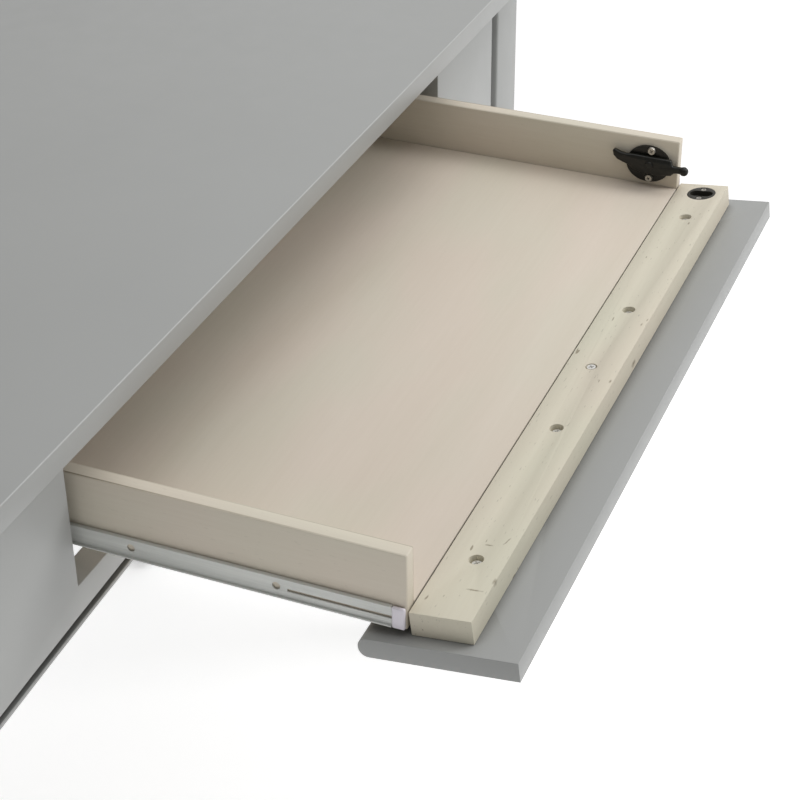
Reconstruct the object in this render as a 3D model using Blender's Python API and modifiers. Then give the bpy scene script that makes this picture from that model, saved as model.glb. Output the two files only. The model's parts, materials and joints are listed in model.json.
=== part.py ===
"""Changing table: a painted table with a pull-out wooden tray behind a drop front.

Metres, +Z up, +X to the right of someone who stands in front, +Y from the front to the back.
The table stands on Z = 0. The tray is pulled out to its stop and its front is folded down.
"""

import math

import bmesh
import bpy
from mathutils import Matrix, Vector

# Clearances
FIT = 0.0003  # between pieces that are fixed face to face
RUN = 0.0001  # on the radius, where a pin turns in its hole
PAST = 0.001  # how far a cutter reaches past the face that it cuts

# The table
TABLE_HEIGHT = 0.877
TOP_WIDTH, TOP_DEPTH, TOP_THICK = 1.144, 0.560, 0.019
TOP_OVERHANG = 0.020  # past the panels, at the front and at the back
CASE_WIDTH = 1.104  # over the legs
CASE_DEPTH = TOP_DEPTH - 2 * TOP_OVERHANG
LEG = 0.056
GLIDE_RADIUS, GLIDE_TOP_RADIUS, GLIDE_HEIGHT = 0.016, 0.0136, 0.008
GLIDE_STEM_RADIUS, GLIDE_STEM_LENGTH = 0.0037, 0.020
BOARD_EDGE = 0.0015  # the rounding on the painted boards

# The panels: their bottom edge is a shallow arch, with a groove above a small lip
PANEL_HEIGHT, PANEL_THICK = 0.1655, 0.020  # the height is taken at the legs
ARCH_RISE, ARCH_STEPS = 0.0175, 32
REVEAL_WIDTH, REVEAL_DEPTH = 0.0174, 0.012  # the shadow gap between a panel and a leg
GROOVE_HEIGHT, GROOVE_DEPTH, LIP_HEIGHT = 0.006, 0.006, 0.0035

# The brackets and bolts that draw the legs in
BRACKET_REACH, BRACKET_FLANGE = 0.0917, 0.024
BRACKET_HEIGHT, BRACKET_STEEL = 0.060, 0.0025
BOLT_RADIUS, BOLT_IN_LEG, BOLT_AHEAD, BOLT_BEHIND = 0.004, 0.022, 0.034, 0.012
CHAMFER_PAST = 0.007  # how far the bolt's hole is cut past the leg's corner
NUT_RADIUS, NUT_THICK = 0.0075, 0.0065
BOLT_Z = 0.780

# The tray and its way through the front
TRAY_WIDTH, TRAY_DEPTH = 0.640, 0.360
TRAY_SIDE_THICK, TRAY_FLOOR_THICK = 0.012, 0.015
TRAY_INNER_HEIGHT = 0.0446
TRAY_EDGE = 0.0018
TRAY_TOP_Z = 0.8195
TRAY_PULLED_OUT = 0.237  # from the front of the case to the front of the tray
OPENING_WIDTH, OPENING_SILL = 0.668, 0.084  # the sill lies this far under the top of the tray
RUNNER_THICK = 0.018

# The slides, measured outwards from the tray's side
SLIDE_DOWN = 0.0496  # the slide's middle, from the top of the tray
SLIDE_LENGTH = 0.350
STEEL = 0.0012
DRAWER_MEMBER_HEIGHT, DRAWER_MEMBER_DEPTH = 0.0170, 0.0033
BALL_RADIUS, BALL_OUT = 0.0012, 0.0019
CABINET_LIP_OUT = 0.0009  # where the cabinet member's lips end
CABINET_MEMBER_FRONT = 0.0333  # clear of the drop front when the tray is pushed in
CAGE_LENGTH, CAGE_STEEL, BALLS_IN_A_ROW = 0.070, 0.0008, 4
BUMPER_LENGTH, BUMPER_DEPTH, BUMPER_EDGE = 0.0095, 0.0036, 0.0012
SLIDE_HOLES, SLIDE_HOLE_RADIUS = (0.092, 0.200), 0.0030
SLIDE_SLOT_END, SLIDE_SLOT_HEIGHT, SLIDE_SLOT_DROP = 0.084, 0.0022, 0.0014

# The drop front: a painted panel with a wooden batten, hinged to the tray floor
FLAP_TILT = math.radians(7)  # the open flap still rises this much to its outer edge
HINGE_OUT, HINGE_DOWN = 0.0026, 0.0022  # the pin, from the front top edge of the tray floor
BATTEN_OUTER, BATTEN_THICK = 0.0418, 0.018
BATTEN_LIP = 0.00125  # the inner edge, which reaches back over the hinge
BATTEN_LIP_THICK = 0.00075
BATTEN_INNER = 0.0026  # the recessed face that the hinge leaf is screwed to
FRONT_LENGTH, FRONT_THICK = 0.662, 0.015
FRONT_INNER, FRONT_OUTER = 0.036, 0.0754  # from the pin to the panel's lower and upper edge
FRONT_NOSING = 0.0068  # radius of the rounded lower edge
# Each screw: where along the batten, how far out from the pin, radius and depth of its counterbore.
DEEP_SCREW = (0.0209, 0.0053, 0.0058)
FLUSH_SCREW = (0.0188, 0.0046, 0.0028)
BATTEN_SCREWS = (
    (-0.256, *DEEP_SCREW),
    (-0.091, *DEEP_SCREW),
    (-0.0025, *FLUSH_SCREW),
    (0.088, *DEEP_SCREW),
    (0.255, *DEEP_SCREW),
)
BATTEN_SCREW_BITE = 0.0105
SCREW_HEAD_RADIUS, SCREW_CROWN_RADIUS, SCREW_HEAD_HEIGHT = 0.0042, 0.0034, 0.0023
SCREW_RADIUS, PILOT_RADIUS = 0.0020, 0.0024

# The continuous hinge
KNUCKLE_RADIUS, PIN_RADIUS = 0.00145, 0.00065
HINGE_LENGTH, KNUCKLES = 0.620, 10
LEAF_THICK, LEAF_HEIGHT = 0.001, 0.0100
TRAY_LEAF_DROP, FLAP_LEAF_DROP = 0.0016, 0.0010  # from the pin to the top of each leaf
WEB_TOP, WEB_BOTTOM = 0.0011, 0.0024
WEB_REACH = 0.7 * KNUCKLE_RADIUS  # how far a web runs in over the knuckle

# The catch on the tray's right side, seen from its pivot
CATCH_BACK, CATCH_DOWN = 0.0238, 0.0225  # the pivot, from the front top corner of the side
CATCH_PLATE_HALF_LENGTH, CATCH_PLATE_HALF_HEIGHT, CATCH_PLATE_THICK = 0.0200, 0.0170, 0.003
CATCH_PLATE_BACK, CATCH_PLATE_DOWN = 0.0022, 0.0011  # the middle of the oval, from the pivot
LEVER_THICK, LEVER_EDGE = 0.0045, 0.0007
NOSE_RADIUS, NOSE_FORWARD, NOSE_DROP = 0.0041, 0.0310, 0.0013
RIVET_RADIUS, RIVET_HEAD_RADIUS, RIVET_CROWN_RADIUS, RIVET_HEAD_HEIGHT = 0.002, 0.004, 0.003, 0.0012
CATCH_SCREWS = (("upper", -0.0005, 0.0123), ("lower", 0.0006, -0.0140))
CATCH_SCREW_LENGTH, CATCH_SCREW_RADIUS, CATCH_SCREW_HOLE = 0.0075, 0.0014, 0.0017
CATCH_HEAD_RADIUS, CATCH_CROWN_RADIUS, CATCH_HEAD_HEIGHT = 0.0036, 0.0030, 0.0018

# The strike in the batten
STRIKE_RADIUS, STRIKE_DEPTH, STRIKE_OUT = 0.0122, 0.0130, 0.0222
STRIKE_SLOT_WIDTH, STRIKE_SLOT_LENGTH, STRIKE_SLOT_DEPTH = 0.0100, 0.0204, 0.0122
STRIKE_SCREW_SPREAD, STRIKE_SCREW_BITE = 0.0083, 0.0040
STRIKE_SCREW_RADIUS, STRIKE_SCREW_HOLE = 0.0012, 0.0015
STRIKE_HEAD_RADIUS, STRIKE_HEAD_SINK, STRIKE_HEAD_HEIGHT = 0.0026, 0.0014, 0.0011

# Worked out from the above
UNDER_TOP = TABLE_HEIGHT - TOP_THICK - FIT
PANEL_BOTTOM = TABLE_HEIGHT - TOP_THICK - PANEL_HEIGHT
LEG_X = (CASE_WIDTH - LEG) / 2
PANEL_HALF = CASE_WIDTH / 2 - LEG - REVEAL_WIDTH  # a front or back panel's face ends here
PANEL_HALF_DEPTH = CASE_DEPTH / 2 - LEG - REVEAL_WIDTH
OPENING_HALF = OPENING_WIDTH / 2
SLIDE_Z = TRAY_TOP_Z - SLIDE_DOWN
BALL_ROW = DRAWER_MEMBER_HEIGHT / 2 + FIT + BALL_RADIUS  # above and below the slide's middle
CABINET_MEMBER_HALF = BALL_ROW + BALL_RADIUS + FIT + STEEL
BATTEN_FACE = HINGE_DOWN  # the batten's inner face, from the pin
FRONT_FACE = BATTEN_FACE - BATTEN_THICK - FIT  # the painted panel's inner face, from the pin
FLAP_REACH = (
    TRAY_PULLED_OUT
    + HINGE_OUT
    + FRONT_OUTER * math.cos(FLAP_TILT)
    + (FRONT_THICK - FRONT_FACE) * math.sin(FLAP_TILT)
)
# The origin is the middle of the whole object's footprint, so the case's front lies at this Y.
CASE_FRONT_Y = (FLAP_REACH - CASE_DEPTH - TOP_OVERHANG) / 2


# Scene, materials and small tools

for old in list(bpy.data.objects):
    bpy.data.objects.remove(old)

parts = bpy.data.collections.new("changing_table")
cutters = bpy.data.collections.new("cutters")
bpy.context.scene.collection.children.link(parts)
bpy.context.scene.collection.children.link(cutters)


def material(name, colour, roughness, metallic=0.0):
    made = bpy.data.materials.new(name)
    made.use_nodes = True
    shader = made.node_tree.nodes["Principled BSDF"]
    shader.inputs["Base Color"].default_value = (*colour, 1)
    shader.inputs["Roughness"].default_value = roughness
    shader.inputs["Metallic"].default_value = metallic
    made.diffuse_color = (*colour, 1)
    return made


GREY_PAINT = material("painted_wood", (0.36, 0.36, 0.35), 0.45)
TRAY_WOOD = material("tray_wood", (0.60, 0.54, 0.45), 0.55)
BATTEN_WOOD = material("batten_wood", (0.61, 0.58, 0.45), 0.6)
RUNNER_WOOD = material("runner_wood", (0.52, 0.44, 0.33), 0.7)
ZINC = material("zinc_steel", (0.62, 0.63, 0.63), 0.35, 1.0)
BLACK_STEEL = material("black_hinge", (0.03, 0.03, 0.03), 0.45, 0.4)
BLACK_METAL = material("black_catch", (0.02, 0.02, 0.02), 0.4)
SCREW_STEEL = material("screw_steel", (0.55, 0.54, 0.50), 0.3, 1.0)
WHITE_PLASTIC = material("white_plastic", (0.62, 0.59, 0.64), 0.4)
GLIDE_PLASTIC = material("glide_plastic", (0.05, 0.05, 0.05), 0.6)


def empty(name, parent=None, location=(0, 0, 0), turn_x=0.0):
    made = bpy.data.objects.new(name, None)
    made.empty_display_size = 0.05
    made.location = location
    made.rotation_euler = (turn_x, 0, 0)
    made.parent = parent
    parts.objects.link(made)
    return made


def add(name, mesh_maker, parent, finish, location=(0, 0, 0)):
    """A new object from a function that fills a bmesh. With no finish it is a cutter."""
    work = bmesh.new()
    mesh_maker(work)
    bmesh.ops.recalc_face_normals(work, faces=work.faces)
    mesh = bpy.data.meshes.new(name)
    work.to_mesh(mesh)
    work.free()
    made = bpy.data.objects.new(name, mesh)
    made.location = location
    made.parent = parent
    if finish:
        mesh.materials.append(finish)
        mesh.shade_smooth()
        mesh.set_sharp_from_angle(angle=math.radians(35))
        parts.objects.link(made)
    else:
        made.hide_render = True
        made.display_type = "WIRE"
        cutters.objects.link(made)
    return made


def box(low, high):
    """Fills a bmesh with a box between two corners."""
    low, high = Vector(low), Vector(high)

    def fill(work):
        place = Matrix.Translation((low + high) / 2) @ Matrix.Diagonal((*(high - low), 1))
        bmesh.ops.create_cube(work, size=1, matrix=place)

    return fill


def rod(radius, start, end, sides=24, end_radius=None):
    """Fills a bmesh with a cylinder or cone from one point to another."""
    start, end = Vector(start), Vector(end)

    def fill(work):
        along = end - start
        turn = Vector((0, 0, 1)).rotation_difference(along).to_matrix().to_4x4()
        bmesh.ops.create_cone(
            work,
            cap_ends=True,
            segments=sides,
            radius1=radius,
            radius2=radius if end_radius is None else end_radius,
            depth=along.length,
            matrix=Matrix.Translation((start + end) / 2) @ turn,
        )

    return fill


def ball(radius, centre, sides=16):
    def fill(work):
        bmesh.ops.create_uvsphere(
            work, u_segments=sides, v_segments=sides // 2, radius=radius, matrix=Matrix.Translation(centre)
        )

    return fill


def several(*fills):
    """Fills a bmesh with shapes that stay apart from each other."""

    def fill(work):
        for one in fills:
            one(work)

    return fill


def drawn(axis, outline, start, end):
    """Fills a bmesh with an outline drawn out along axis 0, 1 or 2. It lies in the other two."""

    def fill(work):
        corners = []
        for pair in outline:
            point = list(pair)
            point.insert(axis, start)
            corners.append(work.verts.new(point))
        moved = bmesh.ops.extrude_face_region(work, geom=[work.faces.new(corners)])["geom"]
        far_end = [item for item in moved if isinstance(item, bmesh.types.BMVert)]
        along = Vector((0, 0, 0))
        along[axis] = end - start
        bmesh.ops.translate(work, verts=far_end, vec=along)

    return fill


def arc(centre, radius, start, end, steps):
    """Points on an arc, in degrees, both ends included."""
    turns = [math.radians(start + (end - start) * i / steps) for i in range(steps + 1)]
    return [(centre[0] + radius * math.cos(t), centre[1] + radius * math.sin(t)) for t in turns]


def ease(obj, width, segments=1):
    """Takes the sharpness off the edges."""
    bevel = obj.modifiers.new("eased_edges", "BEVEL")
    bevel.width = width
    bevel.segments = segments
    bevel.limit_method = "ANGLE"
    bevel.angle_limit = math.radians(50)


def combine(obj, other, operation):
    step = obj.modifiers.new(operation.lower(), "BOOLEAN")
    step.operation = operation
    step.solver = "EXACT"
    step.object = other


def cut(obj, name, shape, parent):
    combine(obj, add(f"{obj.name}_{name}", shape, parent, None), "DIFFERENCE")


def join(obj, name, shape, parent):
    combine(obj, add(f"{obj.name}_{name}", shape, parent, None), "UNION")


table = empty("table", location=(0, CASE_FRONT_Y, 0))
tray = empty("tray", table, (0, -TRAY_PULLED_OUT, TRAY_TOP_Z))
PIN_PLACE = (0, -HINGE_OUT, -TRAY_INNER_HEIGHT - HINGE_DOWN)
flap = empty("flap", tray, PIN_PLACE, turn_x=-FLAP_TILT)
hinge_on_tray = empty("hinge_on_tray", tray, PIN_PLACE)
SIDES = (("left", -1), ("right", 1))


# The table: a top on a box of panels between four legs

tabletop = add(
    "tabletop",
    box(
        (-TOP_WIDTH / 2, -TOP_OVERHANG, TABLE_HEIGHT - TOP_THICK),
        (TOP_WIDTH / 2, CASE_DEPTH + TOP_OVERHANG, TABLE_HEIGHT),
    ),
    table,
    GREY_PAINT,
)
ease(tabletop, BOARD_EDGE, 2)


def make_leg(end, side_name, side):
    """A square leg on a glide, drilled for the glide's stem and across its corner for a bolt."""
    middle_y = LEG / 2 if end == "front" else CASE_DEPTH - LEG / 2
    leg = add(
        f"leg_{end}_{side_name}",
        box((-LEG / 2, -LEG / 2, GLIDE_HEIGHT), (LEG / 2, LEG / 2, UNDER_TOP)),
        table,
        GREY_PAINT,
        location=(side * LEG_X, middle_y, 0),
    )
    ease(leg, BOARD_EDGE, 2)
    stem_top = GLIDE_HEIGHT + GLIDE_STEM_LENGTH
    stem_hole = rod(
        GLIDE_STEM_RADIUS + FIT,
        (side * LEG_X, middle_y, GLIDE_HEIGHT - PAST),
        (side * LEG_X, middle_y, stem_top + FIT),
        16,
    )
    cut(leg, "stem_hole", stem_hole, table)

    inward = Vector((-side, 1 if end == "front" else -1, 0)).normalized()
    corner = Vector((side * LEG_X, middle_y, BOLT_Z)) + inward * (LEG / math.sqrt(2))
    bolt_hole = rod(BOLT_RADIUS + FIT, corner - inward * BOLT_IN_LEG, corner + inward * CHAMFER_PAST, 12)
    cut(leg, "bolt_hole", bolt_hole, table)

    glide = add(
        f"glide_{end}_{side_name}",
        rod(GLIDE_RADIUS, (0, 0, 0), (0, 0, GLIDE_HEIGHT - FIT), 24, GLIDE_TOP_RADIUS),
        table,
        GLIDE_PLASTIC,
        location=(side * LEG_X, middle_y, 0),
    )
    stem_low = (side * LEG_X, middle_y, GLIDE_HEIGHT / 2)
    join(glide, "stem", rod(GLIDE_STEM_RADIUS, stem_low, (side * LEG_X, middle_y, stem_top), 12), table)


def make_corner(end, side_name, side):
    """A bent steel bracket across an inner corner, and the bolt that draws the leg into it."""
    start_y, front = (0, 1) if end == "front" else (CASE_DEPTH, -1)
    face_y = PANEL_THICK + FIT  # from the case's front or back
    face_x = CASE_WIDTH / 2 - PANEL_THICK - FIT
    low_x, high_y = face_x - BRACKET_REACH, face_y + BRACKET_REACH
    bend = BRACKET_STEEL * math.tan(math.radians(22.5))
    outline = [
        (low_x - BRACKET_FLANGE, face_y),
        (low_x, face_y),
        (face_x, high_y),
        (face_x, high_y + BRACKET_FLANGE),
        (face_x - BRACKET_STEEL, high_y + BRACKET_FLANGE),
        (face_x - BRACKET_STEEL, high_y + bend),
        (low_x - bend, face_y + BRACKET_STEEL),
        (low_x - BRACKET_FLANGE, face_y + BRACKET_STEEL),
    ]
    bracket = add(
        f"corner_bracket_{end}_{side_name}",
        drawn(
            2,
            [(side * x, start_y + front * y) for x, y in outline],
            BOLT_Z - BRACKET_HEIGHT / 2,
            BOLT_Z + BRACKET_HEIGHT / 2,
        ),
        table,
        ZINC,
    )
    outward = Vector((side, -front, 0)).normalized()
    plate = Vector((side * (low_x + face_x) / 2, start_y + front * (face_y + high_y) / 2, BOLT_Z))
    through = outward * (BRACKET_STEEL + PAST)
    cut(bracket, "bolt_hole", rod(BOLT_RADIUS + FIT, plate - through, plate + through, 16), table)

    nut_face = plate - outward * (BRACKET_STEEL + FIT)
    bolt = add(
        f"corner_bolt_{end}_{side_name}",
        rod(BOLT_RADIUS, nut_face - outward * BOLT_BEHIND, plate + outward * BOLT_AHEAD, 12),
        table,
        ZINC,
    )
    join(bolt, "nut", rod(NUT_RADIUS, nut_face - outward * NUT_THICK, nut_face, 6), table)


for end_name in ("front", "back"):
    for side_name, side in SIDES:
        make_leg(end_name, side_name, side)
        make_corner(end_name, side_name, side)


def make_panel(name, half, place, turn):
    """A board with an arched bottom edge, two end rebates and a groove above its bottom lip.

    In the panel's own frame its face is at y = 0 and looks along -y, and x runs along it.
    """
    frame = empty(f"{name}_frame", table, place)
    frame.rotation_euler = (0, 0, turn)
    tongue = half + REVEAL_WIDTH - FIT

    def arch(reach, lift):
        xs = [reach * (2 * i / ARCH_STEPS - 1) for i in range(ARCH_STEPS + 1)]
        return [(x, PANEL_BOTTOM + lift + ARCH_RISE * (1 - (x / tongue) ** 2)) for x in xs]

    outline = arch(tongue, 0) + [(tongue, UNDER_TOP), (-tongue, UNDER_TOP)]
    panel = add(name, drawn(1, outline, 0, PANEL_THICK), frame, GREY_PAINT)
    for side_name, side in SIDES:
        near, far = sorted((side * half, side * (tongue + PAST)))
        rebate = box((near, -PAST, PANEL_BOTTOM - PAST), (far, REVEAL_DEPTH, UNDER_TOP + PAST))
        cut(panel, f"rebate_{side_name}", rebate, frame)
    groove = arch(tongue + PAST, LIP_HEIGHT)
    groove += reversed(arch(tongue + PAST, LIP_HEIGHT + GROOVE_HEIGHT))
    cut(panel, "groove", drawn(1, groove, -PAST, GROOVE_DEPTH), frame)
    return panel


sill = TRAY_TOP_Z - OPENING_SILL
front_panel = make_panel("front_panel", PANEL_HALF, (0, 0, 0), 0)
opening = box((-OPENING_HALF, -PAST, sill), (OPENING_HALF, PANEL_THICK + PAST, UNDER_TOP + PAST))
cut(front_panel, "opening", opening, table)
make_panel("back_panel", PANEL_HALF, (0, CASE_DEPTH, 0), math.pi)

for side_name, side in SIDES:
    middle = (side * CASE_WIDTH / 2, CASE_DEPTH / 2, 0)
    make_panel(f"side_panel_{side_name}", PANEL_HALF_DEPTH, middle, side * math.pi / 2)

    near, far = sorted((side * OPENING_HALF, side * (OPENING_HALF + RUNNER_THICK)))
    add(
        f"runner_board_{side_name}",
        box((near, PANEL_THICK + FIT, sill), (far, CASE_DEPTH - PANEL_THICK - FIT, UNDER_TOP)),
        table,
        RUNNER_WOOD,
    )


# The slides: a channel on each runner board, a smaller one on the tray, and balls in a cage between


def slide_outline(side, points, middle_z):
    """Turns (distance out from the tray's side, height) points into an outline across the slide."""
    return [(side * (TRAY_WIDTH / 2 + out), middle_z + z) for out, z in points]


def cabinet_member(side):
    """A channel that opens towards the tray."""
    back = (OPENING_WIDTH - TRAY_WIDTH) / 2 - FIT
    outer, inner = CABINET_MEMBER_HALF, CABINET_MEMBER_HALF - STEEL
    upper = [(back, outer), (CABINET_LIP_OUT, outer), (CABINET_LIP_OUT, inner), (back - STEEL, inner)]
    lower = [(out, -z) for out, z in reversed(upper)]
    return slide_outline(side, upper + lower, SLIDE_Z)


def drawer_member(side):
    """A shallow channel that opens away from the tray."""
    outer, inner = DRAWER_MEMBER_HEIGHT / 2, DRAWER_MEMBER_HEIGHT / 2 - STEEL
    upper = [(FIT, outer), (DRAWER_MEMBER_DEPTH, outer), (DRAWER_MEMBER_DEPTH, inner), (FIT + STEEL, inner)]
    lower = [(out, -z) for out, z in reversed(upper)]
    return slide_outline(side, upper + lower, -SLIDE_DOWN)


def cage_strip(side):
    """A thin channel that carries the balls over and under the drawer member."""
    back = (OPENING_WIDTH - TRAY_WIDTH) / 2 - 2 * FIT - STEEL
    outer, inner = BALL_ROW + CAGE_STEEL / 2, BALL_ROW - CAGE_STEEL / 2
    mouth = BALL_OUT - BALL_RADIUS / 2
    upper = [(back, outer), (mouth, outer), (mouth, inner), (back - CAGE_STEEL, inner)]
    lower = [(out, -z) for out, z in reversed(upper)]
    return slide_outline(side, upper + lower, SLIDE_Z)


engaged = SLIDE_LENGTH - TRAY_PULLED_OUT - CABINET_MEMBER_FRONT
cage_start = CABINET_MEMBER_FRONT + (engaged - CAGE_LENGTH) / 2
ball_pitch = CAGE_LENGTH / BALLS_IN_A_ROW
for side_name, side in SIDES:
    member_end = CABINET_MEMBER_FRONT + SLIDE_LENGTH
    cabinet_channel = drawn(1, cabinet_member(side), CABINET_MEMBER_FRONT, member_end)
    add(f"slide_cabinet_{side_name}", cabinet_channel, table, ZINC)

    drawer_front = BUMPER_LENGTH + FIT
    drawer_channel = drawn(1, drawer_member(side), drawer_front, SLIDE_LENGTH)
    slide = add(f"slide_drawer_{side_name}", drawer_channel, tray, ZINC)
    web_near, web_far = side * TRAY_WIDTH / 2, side * (TRAY_WIDTH / 2 + 2 * STEEL)
    for number, hole_y in enumerate(SLIDE_HOLES, 1):
        drill = rod(
            SLIDE_HOLE_RADIUS, (web_near, hole_y, -SLIDE_DOWN), (web_far, hole_y, -SLIDE_DOWN), 12
        )
        cut(slide, f"hole_{number}", drill, tray)
    near, far = sorted((web_near, web_far))
    slot_middle = -SLIDE_DOWN - SLIDE_SLOT_DROP
    slot = box(
        (near, drawer_front - PAST, slot_middle - SLIDE_SLOT_HEIGHT / 2),
        (far, SLIDE_SLOT_END, slot_middle + SLIDE_SLOT_HEIGHT / 2),
    )
    cut(slide, "slot", slot, tray)

    near, far = sorted((side * (TRAY_WIDTH / 2 + FIT), side * (TRAY_WIDTH / 2 + BUMPER_DEPTH)))
    bumper = add(
        f"slide_bumper_{side_name}",
        box(
            (near, FIT, -SLIDE_DOWN - DRAWER_MEMBER_HEIGHT / 2),
            (far, BUMPER_LENGTH, -SLIDE_DOWN + DRAWER_MEMBER_HEIGHT / 2),
        ),
        tray,
        WHITE_PLASTIC,
    )
    ease(bumper, BUMPER_EDGE, 2)

    cage_channel = drawn(1, cage_strip(side), cage_start, cage_start + CAGE_LENGTH)
    cage = add(f"ball_cage_{side_name}", cage_channel, table, ZINC)
    ball_x = side * (TRAY_WIDTH / 2 + BALL_OUT)
    balls = [
        ball(BALL_RADIUS, (ball_x, cage_start + ball_pitch * (i + 0.5), SLIDE_Z + row * BALL_ROW), 8)
        for i in range(BALLS_IN_A_ROW)
        for row in (-1, 1)
    ]
    join(cage, "balls", several(*balls), table)


# The tray: a floor, two low sides and a back

floor_top, floor_bottom = -TRAY_INNER_HEIGHT, -TRAY_INNER_HEIGHT - TRAY_FLOOR_THICK
inner_half = TRAY_WIDTH / 2 - TRAY_SIDE_THICK - FIT
add(
    "tray_floor",
    box((-inner_half, 0, floor_bottom), (inner_half, TRAY_DEPTH, floor_top)),
    tray,
    TRAY_WOOD,
)
tray_back = add(
    "tray_back",
    box(
        (-inner_half, TRAY_DEPTH - TRAY_SIDE_THICK, floor_top + FIT),
        (inner_half, TRAY_DEPTH, 0),
    ),
    tray,
    TRAY_WOOD,
)
ease(tray_back, TRAY_EDGE, 2)
tray_sides = {}
for side_name, side in SIDES:
    near, far = sorted((side * (TRAY_WIDTH / 2 - TRAY_SIDE_THICK), side * TRAY_WIDTH / 2))
    tray_side = add(
        f"tray_side_{side_name}",
        box((near, 0, floor_bottom), (far, TRAY_DEPTH, 0)),
        tray,
        TRAY_WOOD,
    )
    ease(tray_side, TRAY_EDGE, 2)
    tray_sides[side_name] = tray_side


# The hinge between the tray floor and the batten. Both leaves are drawn round the pin at (0, 0).

knuckle_length = HINGE_LENGTH / KNUCKLES


def make_leaf(name, parent, first, plate, webs):
    """A plate with webs and a knuckle on every second length, bored for the pin.

    The plate and the webs are pairs of (y, z) corners.
    """
    half = HINGE_LENGTH / 2
    leaf = add(name, box((-half, *plate[0]), (half, *plate[1])), parent, BLACK_STEEL)
    for index in range(first, KNUCKLES, 2):
        start = -half + index * knuckle_length + FIT / 2
        end = start + knuckle_length - FIT
        for number, (low, high) in enumerate(webs, 1):
            join(leaf, f"web_{index}_{number}", box((start, *low), (end, *high)), parent)
        join(leaf, f"knuckle_{index}", rod(KNUCKLE_RADIUS, (start, 0, 0), (end, 0, 0), 16), parent)
    bore = rod(PIN_RADIUS + RUN, (-half - PAST, 0, 0), (half + PAST, 0, 0), 12)
    cut(leaf, "bore", bore, parent)


# The tray's leaf keeps low behind its knuckles, where the batten's lip turns over it.
leaf_back = HINGE_OUT - FIT
make_leaf(
    "hinge_leaf_tray",
    hinge_on_tray,
    first=0,
    plate=((leaf_back - LEAF_THICK, -TRAY_LEAF_DROP - LEAF_HEIGHT), (leaf_back, -TRAY_LEAF_DROP)),
    webs=(
        ((0, -WEB_BOTTOM), (leaf_back - LEAF_THICK / 2, -TRAY_LEAF_DROP)),
        ((0, -WEB_BOTTOM), (WEB_REACH, -WEB_TOP)),
    ),
)
leaf_out = BATTEN_INNER - FIT
make_leaf(
    "hinge_leaf_flap",
    flap,
    first=1,
    plate=((-leaf_out, -FLAP_LEAF_DROP - LEAF_HEIGHT), (LEAF_THICK - leaf_out, -FLAP_LEAF_DROP)),
    webs=(((-leaf_out, -TRAY_LEAF_DROP), (-WEB_REACH, -FIT)),),
)
pin_half = HINGE_LENGTH / 2 + PAST
add("hinge_pin", rod(PIN_RADIUS, (-pin_half, 0, 0), (pin_half, 0, 0), 12), hinge_on_tray, BLACK_STEEL)


# The drop front. In its own frame the pin is at (0, 0), -y runs out from the tray, +z faces up.

batten_low = BATTEN_FACE - BATTEN_THICK
flap_batten = add(
    "flap_batten",
    box((-TRAY_WIDTH / 2, -BATTEN_OUTER, batten_low), (TRAY_WIDTH / 2, BATTEN_LIP, BATTEN_FACE)),
    flap,
    BATTEN_WOOD,
)
# A recess along the inner edge takes the hinge and leaves a thin lip over its knuckles.
lip_low = BATTEN_FACE - BATTEN_LIP_THICK
lip_angle = math.degrees(math.atan2(lip_low, BATTEN_LIP))
hinge_recess = [
    (BATTEN_LIP + PAST, batten_low - PAST),
    (-BATTEN_INNER, batten_low - PAST),
    (-BATTEN_INNER, 0),
    *arc((0, 0), KNUCKLE_RADIUS + FIT, 180, lip_angle, 6),
    (BATTEN_LIP + PAST, lip_low),
]
recess_half = pin_half + PAST
cut(flap_batten, "hinge_recess", drawn(0, hinge_recess, -recess_half, recess_half), flap)

nose_y = FRONT_INNER - FRONT_NOSING
front_outline = [
    (-FRONT_OUTER, FRONT_FACE),
    (-FRONT_OUTER, FRONT_FACE - FRONT_THICK),
    *arc((nose_y, FRONT_FACE - FRONT_THICK + FRONT_NOSING), FRONT_NOSING, -90, 0, 6),
    *arc((nose_y, FRONT_FACE - FRONT_NOSING), FRONT_NOSING, 0, 90, 6),
]
front_board = drawn(0, front_outline, -FRONT_LENGTH / 2, FRONT_LENGTH / 2)
flap_panel = add("flap_panel", front_board, flap, GREY_PAINT)

screw_end = FRONT_FACE - BATTEN_SCREW_BITE
for number, (x, out, bore_radius, bore_depth) in enumerate(BATTEN_SCREWS, 1):
    y = -out
    seat_z = BATTEN_FACE - bore_depth
    counterbore = rod(bore_radius, (x, y, seat_z), (x, y, BATTEN_FACE + PAST), 20)
    cut(flap_batten, f"counterbore_{number}", counterbore, flap)
    pilot = rod(PILOT_RADIUS, (x, y, screw_end - FIT), (x, y, seat_z + PAST), 12)
    cut(flap_batten, f"pilot_{number}", pilot, flap)
    cut(flap_panel, f"pilot_{number}", pilot, flap)
    head_low, head_top = seat_z + FIT, seat_z + FIT + SCREW_HEAD_HEIGHT
    head = rod(SCREW_HEAD_RADIUS, (x, y, head_low), (x, y, head_top), 16, SCREW_CROWN_RADIUS)
    screw = add(f"batten_screw_{number}", head, flap, SCREW_STEEL)
    shank = rod(SCREW_RADIUS, (x, y, screw_end), (x, y, head_low + PAST), 12)
    join(screw, "shank", shank, flap)


# The catch: a lever on an oval plate, inside the tray's right side

plate_face = TRAY_WIDTH / 2 - TRAY_SIDE_THICK - FIT
lever_face = plate_face - CATCH_PLATE_THICK - FIT
lever_middle = lever_face - LEVER_THICK / 2
catch = empty("catch_axis", tray, (lever_middle, CATCH_BACK, -CATCH_DOWN))
plate_near = plate_face - CATCH_PLATE_THICK - lever_middle
plate_far = plate_face - lever_middle

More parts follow.
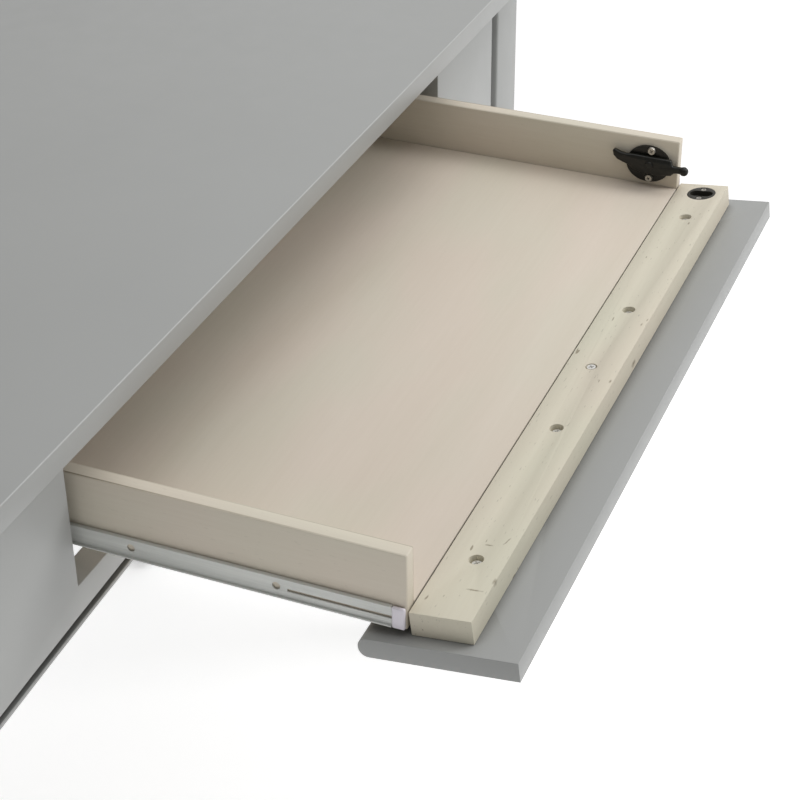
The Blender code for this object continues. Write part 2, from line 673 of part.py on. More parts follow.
plate_outline = [
    (CATCH_PLATE_BACK + CATCH_PLATE_HALF_LENGTH * y, CATCH_PLATE_HALF_HEIGHT * z - CATCH_PLATE_DOWN)
    for y, z in arc((0, 0), 1, 0, 360, 40)[:-1]
]
catch_plate = add("catch_plate", drawn(0, plate_outline, plate_near, plate_far), catch, BLACK_METAL)
rivet_hole = rod(RIVET_RADIUS + FIT, (plate_near - PAST, 0, 0), (plate_far + PAST, 0, 0), 16)
cut(catch_plate, "rivet_hole", rivet_hole, catch)
screw_end = plate_far + CATCH_SCREW_LENGTH
for where, y, z in CATCH_SCREWS:
    hole = rod(CATCH_SCREW_HOLE, (plate_near - PAST, y, z), (screw_end + PAST, y, z), 12)
    cut(catch_plate, f"{where}_hole", hole, catch)
    cut(tray_sides["right"], f"{where}_catch_hole", hole, catch)
    head_seat, head_top = plate_near - FIT, plate_near - FIT - CATCH_HEAD_HEIGHT
    head = rod(CATCH_CROWN_RADIUS, (head_top, y, z), (head_seat, y, z), 16, CATCH_HEAD_RADIUS)
    screw = add(f"catch_screw_{where}", head, catch, SCREW_STEEL)
    shank = rod(CATCH_SCREW_RADIUS, (head_seat - PAST, y, z), (screw_end, y, z), 12)
    join(screw, "shank", shank, catch)

# Seen from inside the tray, the lever is a flat-topped block with a pointed tail and a ball nose.
lever_outline = [
    (-NOSE_FORWARD, -0.0036),
    (-0.0250, -0.0036),
    (-0.0222, -0.0044),
    (-0.0198, -0.0068),
    (-0.0080, -0.0090),
    (0.0040, -0.0088),
    (0.0140, -0.0062),
    (0.0186, -0.0026),
    (0.0242, -0.0010),
    (0.0295, 0.0010),
    (0.0330, 0.0046),
    (0.0340, 0.0092),
    (0.0322, 0.0104),
    (0.0268, 0.0080),
    (0.0211, 0.0073),
    (0.0160, 0.0080),
    (-0.0183, 0.0075),
    (-0.0196, 0.0060),
    (-0.0200, 0.0030),
    (-0.0215, 0.0018),
    (-NOSE_FORWARD, 0.0018),
]
catch_lever = add(
    "catch_lever",
    drawn(0, lever_outline, -LEVER_THICK / 2, LEVER_THICK / 2),
    catch,
    BLACK_METAL,
)
ease(catch_lever, LEVER_EDGE)
join(catch_lever, "nose", ball(NOSE_RADIUS, (0, -NOSE_FORWARD, -NOSE_DROP), 20), catch)
pivot_hole = rod(RIVET_RADIUS + RUN, (-LEVER_THICK, 0, 0), (LEVER_THICK, 0, 0), 16)
cut(catch_lever, "pivot_hole", pivot_hole, catch)

rivet_low = -LEVER_THICK / 2 - FIT
rivet_top = rivet_low - RIVET_HEAD_HEIGHT
head = rod(RIVET_CROWN_RADIUS, (rivet_top, 0, 0), (rivet_low, 0, 0), 16, RIVET_HEAD_RADIUS)
catch_rivet = add("catch_rivet", head, catch, BLACK_METAL)
join(catch_rivet, "shank", rod(RIVET_RADIUS, (rivet_low - PAST, 0, 0), (plate_far, 0, 0), 16), catch)


# The strike: a slotted cup let into the batten, where the ball nose goes when the front is up

strike_x, strike_y = lever_middle, -STRIKE_OUT
cup_floor = BATTEN_FACE - STRIKE_DEPTH
pocket = rod(
    STRIKE_RADIUS + FIT,
    (strike_x, strike_y, cup_floor - FIT),
    (strike_x, strike_y, BATTEN_FACE + PAST),
    32,
)
cut(flap_batten, "strike_pocket", pocket, flap)
cup = rod(STRIKE_RADIUS, (strike_x, strike_y, cup_floor), (strike_x, strike_y, BATTEN_FACE), 32)
strike_cup = add("strike_cup", cup, flap, BLACK_METAL)
slot_half = STRIKE_SLOT_WIDTH / 2
slot_straight = STRIKE_SLOT_LENGTH / 2 - slot_half
slot_outline = arc((strike_x, strike_y + slot_straight), slot_half, 0, 180, 8)
slot_outline += arc((strike_x, strike_y - slot_straight), slot_half, 180, 360, 8)
slot_shape = drawn(2, slot_outline, BATTEN_FACE - STRIKE_SLOT_DEPTH, BATTEN_FACE + PAST)
cut(strike_cup, "slot", slot_shape, flap)
head_low = BATTEN_FACE - STRIKE_HEAD_SINK + FIT
head_top = head_low + STRIKE_HEAD_HEIGHT - FIT
screw_end = cup_floor - STRIKE_SCREW_BITE
for side_name, side in SIDES:
    x = strike_x + side * STRIKE_SCREW_SPREAD
    hole = rod(STRIKE_SCREW_HOLE, (x, strike_y, screw_end - FIT), (x, strike_y, BATTEN_FACE + PAST), 12)
    cut(strike_cup, f"hole_{side_name}", hole, flap)
    cut(flap_batten, f"strike_hole_{side_name}", hole, flap)
    sink = rod(
        STRIKE_HEAD_RADIUS + FIT,
        (x, strike_y, BATTEN_FACE - STRIKE_HEAD_SINK),
        (x, strike_y, BATTEN_FACE + PAST),
        16,
    )
    cut(strike_cup, f"sink_{side_name}", sink, flap)
    head = rod(STRIKE_HEAD_RADIUS, (x, strike_y, head_low), (x, strike_y, head_top), 16)
    screw = add(f"strike_screw_{side_name}", head, flap, SCREW_STEEL)
    shank = rod(
        STRIKE_SCREW_RADIUS, (x, strike_y, screw_end), (x, strike_y, (head_low + head_top) / 2), 12
    )
    join(screw, "shank", shank, flap)
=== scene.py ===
import json
import math

import bmesh
import bpy
from mathutils import Matrix, Vector


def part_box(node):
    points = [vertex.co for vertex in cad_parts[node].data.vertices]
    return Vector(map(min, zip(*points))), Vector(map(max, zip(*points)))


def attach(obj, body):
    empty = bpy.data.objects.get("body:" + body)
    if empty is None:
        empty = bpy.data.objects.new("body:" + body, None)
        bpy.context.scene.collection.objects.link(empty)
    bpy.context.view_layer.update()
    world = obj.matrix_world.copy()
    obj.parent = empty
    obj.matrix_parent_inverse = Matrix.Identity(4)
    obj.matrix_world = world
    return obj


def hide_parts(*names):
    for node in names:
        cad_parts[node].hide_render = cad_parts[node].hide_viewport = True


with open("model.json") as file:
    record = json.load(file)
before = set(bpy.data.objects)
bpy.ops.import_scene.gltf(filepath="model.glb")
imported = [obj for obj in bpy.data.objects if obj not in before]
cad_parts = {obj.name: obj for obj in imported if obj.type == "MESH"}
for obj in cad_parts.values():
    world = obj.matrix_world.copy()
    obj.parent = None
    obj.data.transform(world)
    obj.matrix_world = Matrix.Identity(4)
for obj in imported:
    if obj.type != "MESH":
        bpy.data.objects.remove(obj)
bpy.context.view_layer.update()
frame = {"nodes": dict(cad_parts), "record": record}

scene = bpy.context.scene


# The view: from the left and above, along the pulled-out tray, close enough to cut off the
# table's top, its left end and its feet. Everything is placed from the tray's left front corner.

side_low, side_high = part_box("tray_side_left")
tray_corner = Vector((side_low.x, side_low.y, side_high.z))
view_from = tray_corner + Vector((-0.8856, -0.3699, 0.7534))
view_heading = math.radians(22.84)  # from +X towards +Y
view_down = math.radians(33.52)
view_roll = math.radians(-0.67)
camera = bpy.data.objects.new("camera", bpy.data.cameras.new("camera"))
camera.data.lens = 87.55
camera.data.clip_end = 400
camera.matrix_world = (
    Matrix.Translation(view_from)
    @ Matrix.Rotation(view_heading - math.pi / 2, 4, "Z")
    @ Matrix.Rotation(math.pi / 2 - view_down, 4, "X")
    @ Matrix.Rotation(view_roll, 4, "Z")
)
scene.collection.objects.link(camera)
scene.camera = camera


# The studio: a pale floor that glows a little, a broad soft light above the tray, another from
# the front right, and white light all round.

FLOOR_REACH = 150
FLOOR_WHITE = (0.9, 0.9, 0.9, 1)
FLOOR_GLOW = 0.47
LEFT_SKY, RIGHT_SKY = 0.22, 0.74  # the strength of the light from either side
scene.view_settings.view_transform = "Standard"
floor_data = bpy.data.meshes.new("studio_floor")
work = bmesh.new()
bmesh.ops.create_grid(work, x_segments=1, y_segments=1, size=FLOOR_REACH)
work.to_mesh(floor_data)
work.free()
floor = bpy.data.objects.new("studio_floor", floor_data)
scene.collection.objects.link(floor)
floor_finish = bpy.data.materials.new("studio_floor")
floor_finish.use_nodes = True
floor_shader = floor_finish.node_tree.nodes["Principled BSDF"]
floor_shader.inputs["Base Color"].default_value = FLOOR_WHITE
floor_shader.inputs["Roughness"].default_value = 0.9
floor_shader.inputs["Emission Color"].default_value = (1, 1, 1, 1)
floor_shader.inputs["Emission Strength"].default_value = FLOOR_GLOW
floor_data.materials.append(floor_finish)

# The room is brighter on the right than on the left, so the left faces are the darker ones.
world = bpy.data.worlds.new("studio")
world.use_nodes = True
sky = world.node_tree
towards = sky.nodes.new("ShaderNodeTexCoord")
rightward = sky.nodes.new("ShaderNodeSeparateXYZ")
strength = sky.nodes.new("ShaderNodeMapRange")
strength.inputs["From Min"].default_value = -0.8
strength.inputs["From Max"].default_value = 0.8
strength.inputs["To Min"].default_value = LEFT_SKY
strength.inputs["To Max"].default_value = RIGHT_SKY
sky.links.new(towards.outputs["Generated"], rightward.inputs["Vector"])
sky.links.new(rightward.outputs["X"], strength.inputs["Value"])
sky.links.new(strength.outputs["Result"], sky.nodes["Background"].inputs["Strength"])
sky.nodes["Background"].inputs["Color"].default_value = (1, 1, 1, 1)
scene.world = world


def soft_light(name, power, width, place, aim):
    """A square area light of the given width that looks at a point."""
    light = bpy.data.lights.new(name, "AREA")
    light.energy = power
    light.size = width
    holder = bpy.data.objects.new(name, light)
    holder.location = place
    holder.rotation_euler = (Vector(aim) - Vector(place)).to_track_quat("-Z", "Y").to_euler()
    scene.collection.objects.link(holder)


soft_light("light_above", 14, 2.0, (0.30, -0.42, 2.6), (0.15, -0.36, 0.75))
soft_light("light_front", 24, 1.0, (1.2, -2.1, 2.3), (0.1, -0.2, 0.8))


# The painted boards: solid wood under satin grey paint, sawn, sanded and sprayed, with a small
# rounding on every edge that catches the light. The top, the legs and the panels share it.

PAINT_GREY = (0.345, 0.350, 0.342)
ARRIS_HIGHLIGHT_GREY = (0.85, 0.85, 0.83)  # painted highlight, paler paint where the front arris would catch the light
PAINT_ROUGHNESS = 0.42
GROOVE_SHADE_REACH = 0.014  # how near a neighbour must be for painted shade in a groove
TOP_EDGE, PANEL_EDGE, LEG_EDGE = 0.0010, 0.0007, 0.0022  # the roundings


def finish(name, roughness, metallic=0.0, specular=0.5):
    """A new material: (the material, its node tree, its Principled shader)."""
    made = bpy.data.materials.new(name)
    made.use_nodes = True
    shader = made.node_tree.nodes["Principled BSDF"]
    shader.inputs["Roughness"].default_value = roughness
    shader.inputs["Metallic"].default_value = metallic
    shader.inputs["Specular IOR Level"].default_value = specular
    return made, made.node_tree, shader


def put(tree, kind, inputs=(), **settings):
    """A new shader node; each input is (name or number, value or socket)."""
    made = tree.nodes.new(kind)
    for key, value in settings.items():
        setattr(made, key, value)
    for key, value in inputs:
        if isinstance(value, bpy.types.NodeSocket):
            tree.links.new(value, made.inputs[key])
        else:
            made.inputs[key].default_value = value
    return made


def new_group(name, inputs, outputs):
    """A shader node group with (name, socket kind) inputs and outputs."""
    group = bpy.data.node_groups.new(name, "ShaderNodeTree")
    for direction, sockets in (("INPUT", inputs), ("OUTPUT", outputs)):
        for label, kind in sockets:
            group.interface.new_socket(label, in_out=direction, socket_type=f"NodeSocket{kind}")
    return group, group.nodes.new("NodeGroupInput"), group.nodes.new("NodeGroupOutput")


def noise(tree, place, stretch, detail=2.0):
    """Noise between 0 and 1 whose grains are 1 / stretch long each way."""
    scaled = put(tree, "ShaderNodeVectorMath", [(0, place), (1, stretch)], operation="MULTIPLY")
    settings = [("Vector", scaled.outputs[0]), ("Scale", 1.0), ("Detail", detail)]
    return put(tree, "ShaderNodeTexNoise", settings).outputs["Fac"]


def remap(tree, value, low, high, to_low, to_high):
    """Takes low..high to to_low..to_high and holds it there."""
    from_ends = [("From Min", low), ("From Max", high)]
    to_ends = [("To Min", to_low), ("To Max", to_high)]
    return put(tree, "ShaderNodeMapRange", [("Value", value), *from_ends, *to_ends]).outputs["Result"]


def maths(tree, operation, *values):
    """One sum on numbers."""
    return put(tree, "ShaderNodeMath", list(enumerate(values)), operation=operation).outputs[0]


def mix(tree, share, first, second, blend_type="MIX"):
    """A colour between two colours."""
    both = [(6, first), (7, second)]
    both = [(key, (*value, 1) if isinstance(value, tuple) else value) for key, value in both]
    blended = put(tree, "ShaderNodeMix", [(0, share), *both], data_type="RGBA", blend_type=blend_type)
    return blended.outputs[2]


def object_place(tree):
    return tree.nodes.new("ShaderNodeTexCoord").outputs["Object"]


def facing(tree):
    """The way that a face looks, as three numbers."""
    normal = tree.nodes.new("ShaderNodeTexCoord").outputs["Normal"]
    return put(tree, "ShaderNodeSeparateXYZ", [(0, normal)])


def sprayed_paint():
    """Sprayed paint: a tone near 1, a little uneven gloss, and the fine skin of the spray."""
    sockets = [("Tone", "Float"), ("Gloss", "Float"), ("Skin", "Float")]
    group, start, end = new_group("sprayed_paint", [("Place", "Vector")], sockets)
    place = start.outputs["Place"]
    tone = remap(group, noise(group, place, (6, 6, 6), 3), 0.3, 0.7, 0.985, 1.015)
    gloss = remap(group, noise(group, place, (40, 40, 40)), 0.3, 0.7, -0.03, 0.03)
    group.links.new(tone, end.inputs["Tone"])
    group.links.new(gloss, end.inputs["Gloss"])
    group.links.new(noise(group, place, (700, 700, 700), 1), end.inputs["Skin"])
    return group


def grey_paint(name, arris):
    """Grey paint with a painted highlight along the front arris by the given share, and painted shade
    in grooves.
    """
    made, tree, shader = finish(name, PAINT_ROUGHNESS, specular=0.42)
    paint = put(tree, "ShaderNodeGroup", node_tree=paint_group)
    tree.links.new(object_place(tree), paint.inputs["Place"])
    tinted = mix(tree, 1.0, PAINT_GREY, paint.outputs["Tone"], "MULTIPLY")
    # Painted shade: ambient occlusion darkens the colour in grooves, in gaps and near other parts.
    open_sky = put(tree, "ShaderNodeAmbientOcclusion", [("Distance", GROOVE_SHADE_REACH)], samples=8)
    groove = remap(tree, open_sky.outputs["AO"], 0.25, 0.85, 0.4, 1.0)
    tinted = mix(tree, 1.0, tinted, groove, "MULTIPLY")
    # Painted highlight: faces that look both up and forwards, along the front arris, are mixed towards
    # a pale grey.
    look = facing(tree)
    slant = maths(tree, "MULTIPLY", look.outputs["Y"], look.outputs["Z"])
    edge = remap(tree, slant, -0.2, -0.45, 0.0, arris)
    rough = maths(tree, "ADD", paint.outputs["Gloss"], PAINT_ROUGHNESS)
    relief = [("Strength", 0.08), ("Distance", 0.0002), ("Height", paint.outputs["Skin"])]
    skin = put(tree, "ShaderNodeBump", relief)
    tree.links.new(mix(tree, edge, tinted, ARRIS_HIGHLIGHT_GREY), shader.inputs["Base Color"])
    tree.links.new(rough, shader.inputs["Roughness"])
    tree.links.new(skin.outputs[0], shader.inputs["Normal"])
    return made


paint_group = sprayed_paint()
# The second number is the share of painted highlight on the front arris, more on the top than
# elsewhere.
TOP_PAINT = grey_paint("top_paint", 0.18)
GREY_PAINT = grey_paint("body_paint", 0.1)


def mesh_piece(name, work, finish_of_it, body, replaced=(), sharp_from=40, edge=0.0):
    """Turns a bmesh into a piece that rides on a CAD body and stands for CAD nodes."""
    bmesh.ops.remove_doubles(work, verts=work.verts, dist=1e-6)
    bmesh.ops.recalc_face_normals(work, faces=work.faces)
    mesh = bpy.data.meshes.new(name)
    work.to_mesh(mesh)
    work.free()
    mesh.materials.append(finish_of_it)
    mesh.shade_smooth()
    piece = bpy.data.objects.new(name, mesh)
    scene.collection.objects.link(piece)
    if edge:
        bevel = piece.modifiers.new("rounded_edges", "BEVEL")
        bevel.width = edge
        bevel.segments = 3
        bevel.limit_method = "ANGLE"
        bevel.angle_limit = math.radians(sharp_from)
        bevel.harden_normals = True
    else:
        mesh.set_sharp_from_angle(angle=math.radians(sharp_from))
    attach(piece, body)
    if replaced:
        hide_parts(*replaced)
    return piece


body_of = {node: body for body, held in frame["record"]["behaviour"]["bodies"].items() for node in held}


def board(name, finish_of_it, edge, segments=3):
    """A plain board in a CAD node's place, with every edge rounded."""
    low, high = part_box(name)
    work = bmesh.new()
    place = Matrix.Translation((low + high) / 2) @ Matrix.Diagonal((*(high - low), 1))
    bmesh.ops.create_cube(work, size=1, matrix=place)
    rounding = {"offset": edge, "segments": segments, "profile": 0.5}
    bmesh.ops.bevel(work, geom=work.edges[:], affect="EDGES", material=-1, **rounding)
    return mesh_piece(f"{name}_board", work, finish_of_it, body_of[name], [name])


def joined(name):
    """A copy of a CAD node's triangles, merged into whole faces."""
    work = bmesh.new()
    work.from_mesh(frame["nodes"][name].data)
    bmesh.ops.remove_doubles(work, verts=work.verts, dist=1e-6)
    bmesh.ops.dissolve_limit(work, angle_limit=math.radians(0.5), verts=work.verts, edges=work.edges)
    return work


def eased(name, finish_of_it, edge, sharp_from=40):
    """A CAD node's shape with its edges rounded."""
    piece = f"{name}_eased"
    return mesh_piece(piece, joined(name), finish_of_it, body_of[name], [name], sharp_from, edge)


SIDES, ENDS = ("left", "right"), ("front", "back")
board("tabletop", TOP_PAINT, TOP_EDGE)
for name in ("front_panel", "back_panel", "side_panel_left", "side_panel_right"):
    eased(name, GREY_PAINT, PANEL_EDGE)
for end in ENDS:
    for side in SIDES:
        board(f"leg_{end}_{side}", GREY_PAINT, LEG_EDGE)


# The glides: a foot under each leg, moulded in black plastic with a rounded rim. Its stem is
# pressed into a hole in the leg's end grain.

GLIDE_EDGE = 0.0012
GLIDE_BLACK, _, glide_shader = finish("glide_plastic", 0.55)
glide_shader.inputs["Base Color"].default_value = (0.03, 0.03, 0.03, 1)
for end in ENDS:
    for side in SIDES:
        eased(f"glide_{end}_{side}", GLIDE_BLACK, GLIDE_EDGE)


# The zinc-plated fittings: corner brackets, their bolts and the drawer slides, of rolled and
# pressed steel. They are pale and dull, with a faint streak along the rolling.

ZINC_PALE = (0.63, 0.64, 0.61)
BRACKET_EDGE, BOLT_EDGE, SLIDE_EDGE = 0.0006, 0.0004, 0.0004


def zinc():
    """Zinc plate, a little cloudy in its shine."""
    made, tree, shader = finish("zinc_plate", 0.45, metallic=0.25)
    place = object_place(tree)
    streak = remap(tree, noise(tree, place, (600, 15, 600)), 0.3, 0.7, 0.94, 1.04)
    cloud = remap(tree, noise(tree, place, (45, 45, 45)), 0.3, 0.7, 0.40, 0.52)
    tree.links.new(mix(tree, 1.0, ZINC_PALE, streak, "MULTIPLY"), shader.inputs["Base Color"])
    tree.links.new(cloud, shader.inputs["Roughness"])
    return made


ZINC = zinc()
for end in ENDS:
    for side in SIDES:
        eased(f"corner_bracket_{end}_{side}", ZINC, BRACKET_EDGE, 25)
        eased(f"corner_bolt_{end}_{side}", ZINC, BOLT_EDGE, 50)
for side in SIDES:
    eased(f"slide_cabinet_{side}", ZINC, SLIDE_EDGE)
    eased(f"slide_drawer_{side}", ZINC, SLIDE_EDGE, 50)
    cage = frame["nodes"][f"ball_cage_{side}"]
    cage.data.materials.clear()
    cage.data.materials.append(ZINC)


# The end pieces of the slides: plugs moulded in white plastic with soft corners and a faint cool
# tint, pushed over the front end of each drawer member.

PLUG_EDGE = 0.0004
PLUG_WHITE, _, plug_shader = finish("plug_plastic", 0.35)
plug_shader.inputs["Base Color"].default_value = (0.80, 0.76, 0.82, 1)
for side in SIDES:
    eased(f"slide_bumper_{side}", PLUG_WHITE, PLUG_EDGE)


# The wood of the tray: pale plywood and boards under clear matt varnish, glued together. The
# floor's grain runs along the table, the sides' from front to back.

PALE_WOOD, DARK_WOOD = (0.66, 0.60, 0.515), (0.60, 0.54, 0.45)
PALE_SIDE, DARK_SIDE = (0.68, 0.63, 0.535), (0.60, 0.54, 0.44)
KNOT_BROWN = (0.20, 0.16, 0.10)
ALONG_Y = math.pi / 2  # turns the grain, which runs along X, from front to back
FLOOR_EDGE, BACK_EDGE, SIDE_EDGE = 0.0004, 0.0020, 0.0010


def wood_group():
    """Wood whose grain runs along X: its broad figure, its fibres, its flecks, and a slow tint."""
    sockets = [(label, "Float") for label in ("Figure", "Fibre", "Fleck", "Tint")]
    group, start, end = new_group("wood_grain", [("Place", "Vector")], sockets)
    place = start.outputs["Place"]
    bands = maths(group, "MULTIPLY", noise(group, place, (1.1, 6.5, 6.5), 1), 9.0)
    outputs = {
        "Figure": maths(group, "PINGPONG", bands, 1.0),
        "Fibre": noise(group, place, (22, 420, 420), 3),
        "Fleck": remap(group, noise(group, place, (130, 620, 620), 1), 0.70, 0.76, 0.0, 1.0),
        "Tint": remap(group, noise(group, place, (7, 14, 14), 1), 0.35, 0.65, 0.0, 1.0),
    }
    for label, value in outputs.items():
        group.links.new(value, end.inputs[label])
    return group


WOOD_GRAIN = wood_group()


def wood(name, pale, dark, turn=0.0, fleck=0.25, figure=0.35, roughness=0.55, spots=None):
    """A wood finish; turn lays its grain along Y, and spots is a mask of knots."""
    made, tree, shader = finish(name, roughness, specular=0.3)
    place = object_place(tree)
    laid = put(tree, "ShaderNodeMapping", [("Vector", place), ("Rotation", (0, 0, turn))]).outputs[0]
    grain = put(tree, "ShaderNodeGroup", node_tree=WOOD_GRAIN)
    tree.links.new(laid, grain.inputs["Place"])
    fibre = remap(tree, grain.outputs["Fibre"], 0.3, 0.7, 0.0, 0.22)
    share = maths(tree, "MULTIPLY_ADD", grain.outputs["Figure"], figure, fibre)
    colour = mix(tree, share, pale, dark)
    tint = mix(tree, grain.outputs["Tint"], (1.02, 0.99, 0.985), (0.99, 1.0, 0.98))
    colour = mix(tree, 1.0, colour, tint, "MULTIPLY")
    flecks = maths(tree, "MULTIPLY", grain.outputs["Fleck"], fleck)
    colour = mix(tree, flecks, colour, tuple(0.45 * part for part in dark))
    if spots:
        colour = mix(tree, spots(tree, place), colour, KNOT_BROWN)
    relief = [("Strength", 0.15), ("Distance", 0.0003), ("Height", grain.outputs["Fibre"])]
    rows = put(tree, "ShaderNodeBump", relief)
    tree.links.new(colour, shader.inputs["Base Color"])
    tree.links.new(rows.outputs[0], shader.inputs["Normal"])
    return made


def edge_lines(tree, place):
    """Thin dark lines along the sides' top edges, near each face, on the faces that look up or
    forwards.
    """
    low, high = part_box("tray_side_left")
    across = put(tree, "ShaderNodeSeparateXYZ", [(0, place)])
    from_middle = maths(tree, "ABSOLUTE", across.outputs["X"])
    sides = maths(tree, "ABSOLUTE", facing(tree).outputs["X"])
    marks = []
    # Each dark line: how far out it lies, and how dark it is at the rear and at the front.
    for ply, rear, front in ((-low.x - 0.0010, 0.75, 0.12), (-high.x + 0.0009, 0.15, 0.45)):
        off = maths(tree, "ABSOLUTE", maths(tree, "SUBTRACT", from_middle, ply))
        line = remap(tree, off, 0.0003, 0.0007, 1.0, 0.0)
        along = remap(tree, across.outputs["Y"], low.y, low.y + 0.24, front, rear)
        marks.append(maths(tree, "MULTIPLY", line, along))
    both = maths(tree, "MAXIMUM", *marks)
    return maths(tree, "MULTIPLY", both, remap(tree, sides, 0.6, 0.9, 1.0, 0.0))


FLOOR_WOOD = wood("tray_floor_wood", PALE_WOOD, DARK_WOOD, fleck=0.0)
BACK_WOOD = wood("tray_back_wood", PALE_WOOD, DARK_WOOD)
SIDE_LAY = {"turn": ALONG_Y, "fleck": 0.1, "figure": 0.3, "spots": edge_lines}
SIDE_WOOD = wood("tray_side_wood", PALE_SIDE, DARK_SIDE, **SIDE_LAY)
board("tray_floor", FLOOR_WOOD, FLOOR_EDGE, 2)
board("tray_back", BACK_WOOD, BACK_EDGE)
for side in SIDES:
    board(f"tray_side_{side}", SIDE_WOOD, SIDE_EDGE)


# The runner boards: raw plywood, screwed to the inside of the case. They carry the cabinet members
# of the slides. Their colour is near black, far darker than the tray: painted shade for the
# shadowed inside of the case.

# Painted shade: near-black tones that stand for the shade inside the case.
RUNNER_SHADE_PALE, RUNNER_SHADE_DARK = (0.115, 0.110, 0.10), (0.085, 0.08, 0.07)
RUNNER_EDGE = 0.0008
RUNNER_SHADED_WOOD = wood("runner_wood", RUNNER_SHADE_PALE, RUNNER_SHADE_DARK, turn=ALONG_Y, roughness=0.7)
for side in SIDES:
    board(f"runner_board_{side}", RUNNER_SHADED_WOOD, RUNNER_EDGE)


# The hinge: two black steel leaves, folded and rolled round a pin, hidden in the gap between the
# tray floor and the batten.

HINGE_BLACK, _, hinge_shader = finish("hinge_steel", 0.45, metallic=0.4)
hinge_shader.inputs["Base Color"].default_value = (0.025, 0.025, 0.025, 1)
for name in ("hinge_leaf_tray", "hinge_leaf_flap", "hinge_pin"):
    leaf = frame["nodes"][name]
    leaf.data.materials.clear()
    leaf.data.materials.append(HINGE_BLACK)


# The drop front: a painted board with a rounded lower edge, and screwed to it a raw poplar batten
# with small knots, which is drilled for its screws and for the strike.

PALE_BATTEN, DARK_BATTEN = (0.675, 0.64, 0.53), (0.60, 0.56, 0.45)
FLAP_EDGE, BATTEN_EDGE = 0.0009, 0.0006
eased("flap_panel", GREY_PAINT, FLAP_EDGE, 50)


def batten_knots(tree, place):
    """Fine flecks all over, and the batten's own knots and saw marks."""
    shown = remap(tree, noise(tree, place, (75, 260, 260), 1), 0.745, 0.785, 0.0, 0.7)
    low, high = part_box("flap_batten")
    outer_arris = Vector((0, low.y + 0.0022, high.z))
    # Each: place along the batten, in from its outer arris, down, then its reach along and across.
    knots = (
        (0.0290, -0.0014, 0.0130, 0.0062, 0.0032),
        (-0.276, 0.0005, 0.0010, 0.0042, 0.0018),
        (-0.288, 0.0098, 0.0015, 0.0012, 0.0075),
        (-0.239, 0.0181, 0.0022, 0.0010, 0.0034),
        (-0.021, 0.0022, 0.0004, 0.0030, 0.0012),
        (0.0670, 0.0040, 0.0006, 0.0028, 0.0011),
    )
    torn = noise(tree, place, (500, 500, 500), 2)
    for along, inward, down, reach, width in knots:
        centre = outer_arris + Vector((along, inward, -down))
        stretch = (1 / reach, 1 / width, 1 / max(width, 0.0032))
        away = put(tree, "ShaderNodeVectorMath", [(0, place), (1, centre)], operation="SUBTRACT")
        shaped = [(0, away.outputs[0]), (1, stretch)]
        shaped = put(tree, "ShaderNodeVectorMath", shaped, operation="MULTIPLY").outputs[0]
        far = put(tree, "ShaderNodeVectorMath", [(0, shaped)], operation="LENGTH").outputs["Value"]
        knot = remap(tree, maths(tree, "MULTIPLY_ADD", torn, 0.9, far), 0.6, 1.4, 0.8, 0.0)
        shown = maths(tree, "MAXIMUM", shown, knot)
    return shown


BATTEN_LAY = {"fleck": 0.35, "figure": 0.25, "spots": batten_knots}
BATTEN_WOOD = wood("batten_wood", PALE_BATTEN, DARK_BATTEN, **BATTEN_LAY)
eased("flap_batten", BATTEN_WOOD, BATTEN_EDGE, 50)


# The screws: steel wire, headed cold with a cross recess, threaded and plated. Five hold the
# batten to the front's panel, two the catch and two the strike.


def steel(name, colour, roughness):
    """Plated steel, a little dull."""
    made, _, shader = finish(name, roughness, metallic=0.8)
    shader.inputs["Base Color"].default_value = (*colour, 1)
    return made


HEAD_SIDES, SHANK_SIDES = 32, 16
BRIGHT_STEEL = steel("bright_screw_steel", (0.80, 0.79, 0.76), 0.40)
DULL_STEEL = steel("dull_screw_steel", (0.42, 0.40, 0.36), 0.38)


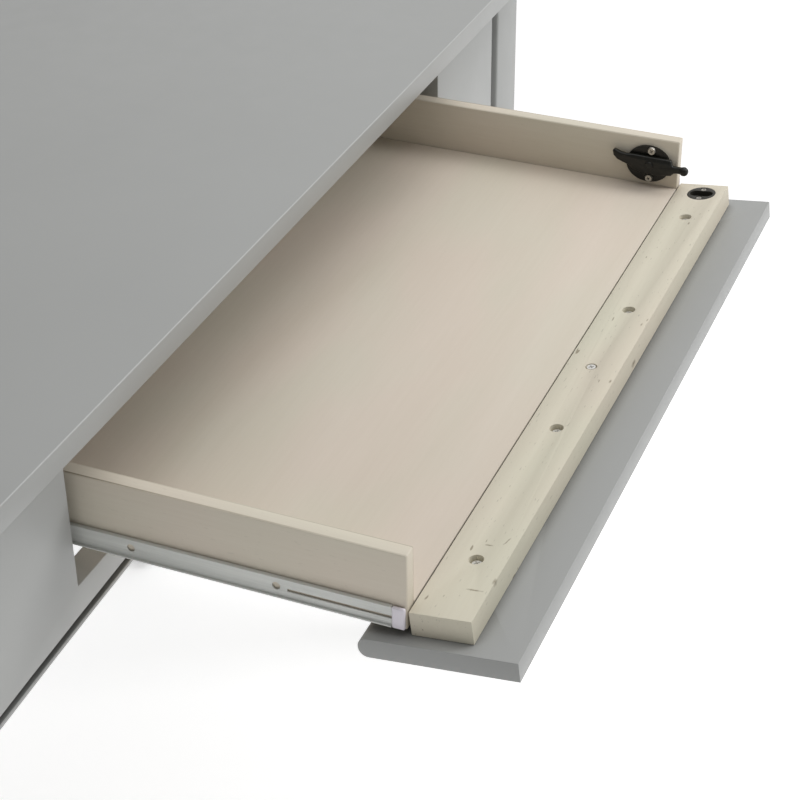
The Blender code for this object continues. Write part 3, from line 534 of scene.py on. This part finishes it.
def screw(node, metal, direction, rim_radius, crown_radius, height, cross, turn):
    """A cross-head screw in a CAD screw's place; direction is the way its head faces."""
    # The head: a rim drawn up to its crown, filled round the outline of the cross.
    work = bmesh.new()
    bmesh.ops.create_circle(work, cap_ends=False, segments=HEAD_SIDES, radius=rim_radius)
    crown = bmesh.ops.extrude_edge_only(work, edges=work.edges[:])["geom"]
    crown = [item for item in crown if isinstance(item, bmesh.types.BMVert)]
    bmesh.ops.scale(work, verts=crown, vec=(crown_radius / rim_radius, crown_radius / rim_radius, 1))
    bmesh.ops.translate(work, verts=crown, vec=(0, 0, height))
    edges = [edge for edge in work.edges if all(vert in crown for vert in edge.verts)]
    corners = []
    for quarter in range(4):
        spin = Matrix.Rotation(quarter * math.pi / 2 + turn, 3, "Z")
        for x, y in ((cross, -cross / 4), (cross, cross / 4), (cross / 4, cross / 4)):
            corners.append(work.verts.new(spin @ Vector((x, y, height))))
    outline = [work.edges.new((corners[i - 1], corners[i])) for i in range(len(corners))]
    bmesh.ops.triangle_fill(work, use_beauty=True, use_dissolve=False, edges=edges + outline)

    # The recess: the outline pressed down and narrowed, and closed at its floor.
    recess = bmesh.ops.extrude_edge_only(work, edges=outline)["geom"]
    recess = [item for item in recess if isinstance(item, bmesh.types.BMVert)]
    bmesh.ops.scale(work, verts=recess, vec=(0.5, 0.5, 1))
    bmesh.ops.translate(work, verts=recess, vec=(0, 0, -0.8 * height))
    bottom = [edge for edge in work.edges if all(vert in recess for vert in edge.verts)]
    bmesh.ops.contextual_create(work, geom=bottom)

    # The shank: a taper as long as the CAD screw is under its head, then all of it put in place.
    points = [vert.co.copy() for vert in frame["nodes"][node].data.vertices]
    reach = [point.dot(direction) for point in points]
    tops = [point for point, far in zip(points, reach) if max(reach) - far < 1e-5]
    length = max(reach) - min(reach) - height
    place = Matrix.Translation((0, 0, -length / 2))
    taper = {"radius1": rim_radius * 0.2, "radius2": rim_radius * 0.45, "depth": length}
    bmesh.ops.create_cone(work, cap_ends=True, segments=SHANK_SIDES, matrix=place, **taper)
    seat = sum(tops, Vector()) / len(tops) - direction * height
    turned = Vector((0, 0, 1)).rotation_difference(direction).to_matrix().to_4x4()
    bmesh.ops.transform(work, matrix=Matrix.Translation(seat) @ turned, verts=work.verts)
    mesh_piece(f"{node}_turned", work, metal, body_of[node], [node], 35)


flap_tilt = math.radians(7)  # the open front rises towards its outer edge
flap_up = Vector((0, math.sin(flap_tilt), math.cos(flap_tilt)))
inwards = Vector((-1, 0, 0))
# Each head: the radius of its rim and of its crown, its height, and the reach of its cross.
BATTEN_HEAD = (0.0042, 0.0034, 0.0023, 0.0022)
CATCH_HEAD = (0.0036, 0.0030, 0.0018, 0.0017)
STRIKE_HEAD = (0.0026, 0.0023, 0.0009, 0.0014)
for number in range(1, 6):
    screw(f"batten_screw_{number}", BRIGHT_STEEL, flap_up, *BATTEN_HEAD, number * 0.7)
for where in ("upper", "lower"):
    screw(f"catch_screw_{where}", DULL_STEEL, inwards, *CATCH_HEAD, 0.5)
for side in SIDES:
    screw(f"strike_screw_{side}", DULL_STEEL, flap_up, *STRIKE_HEAD, 0.9)


# The catch and its strike: cast zinc under satin black lacquer, a little worn. The catch's lever
# turns on a rivet through its plate, and the strike is let into the batten.

CATCH_EDGE, LEVER_EDGE, RIVET_EDGE, STRIKE_EDGE = 0.0005, 0.0004, 0.0003, 0.0004


def black_lacquer(name, deep, worn, roughness):
    """Black lacquer with patches that have worn paler."""
    made, tree, shader = finish(name, roughness, specular=0.3)
    wear = remap(tree, noise(tree, object_place(tree), (300, 300, 300)), 0.5, 0.75, 0.0, 0.5)
    tree.links.new(mix(tree, wear, deep, worn), shader.inputs["Base Color"])
    return made


CATCH_BLACK = black_lacquer("catch_lacquer", (0.010, 0.010, 0.008), (0.028, 0.022, 0.016), 0.34)
STRIKE_BLACK = black_lacquer("strike_lacquer", (0.028, 0.026, 0.020), (0.060, 0.054, 0.042), 0.45)
eased("catch_plate", CATCH_BLACK, CATCH_EDGE, 50)
eased("catch_lever", CATCH_BLACK, LEVER_EDGE, 50)
eased("catch_rivet", CATCH_BLACK, RIVET_EDGE, 50)
eased("strike_cup", STRIKE_BLACK, STRIKE_EDGE, 50)
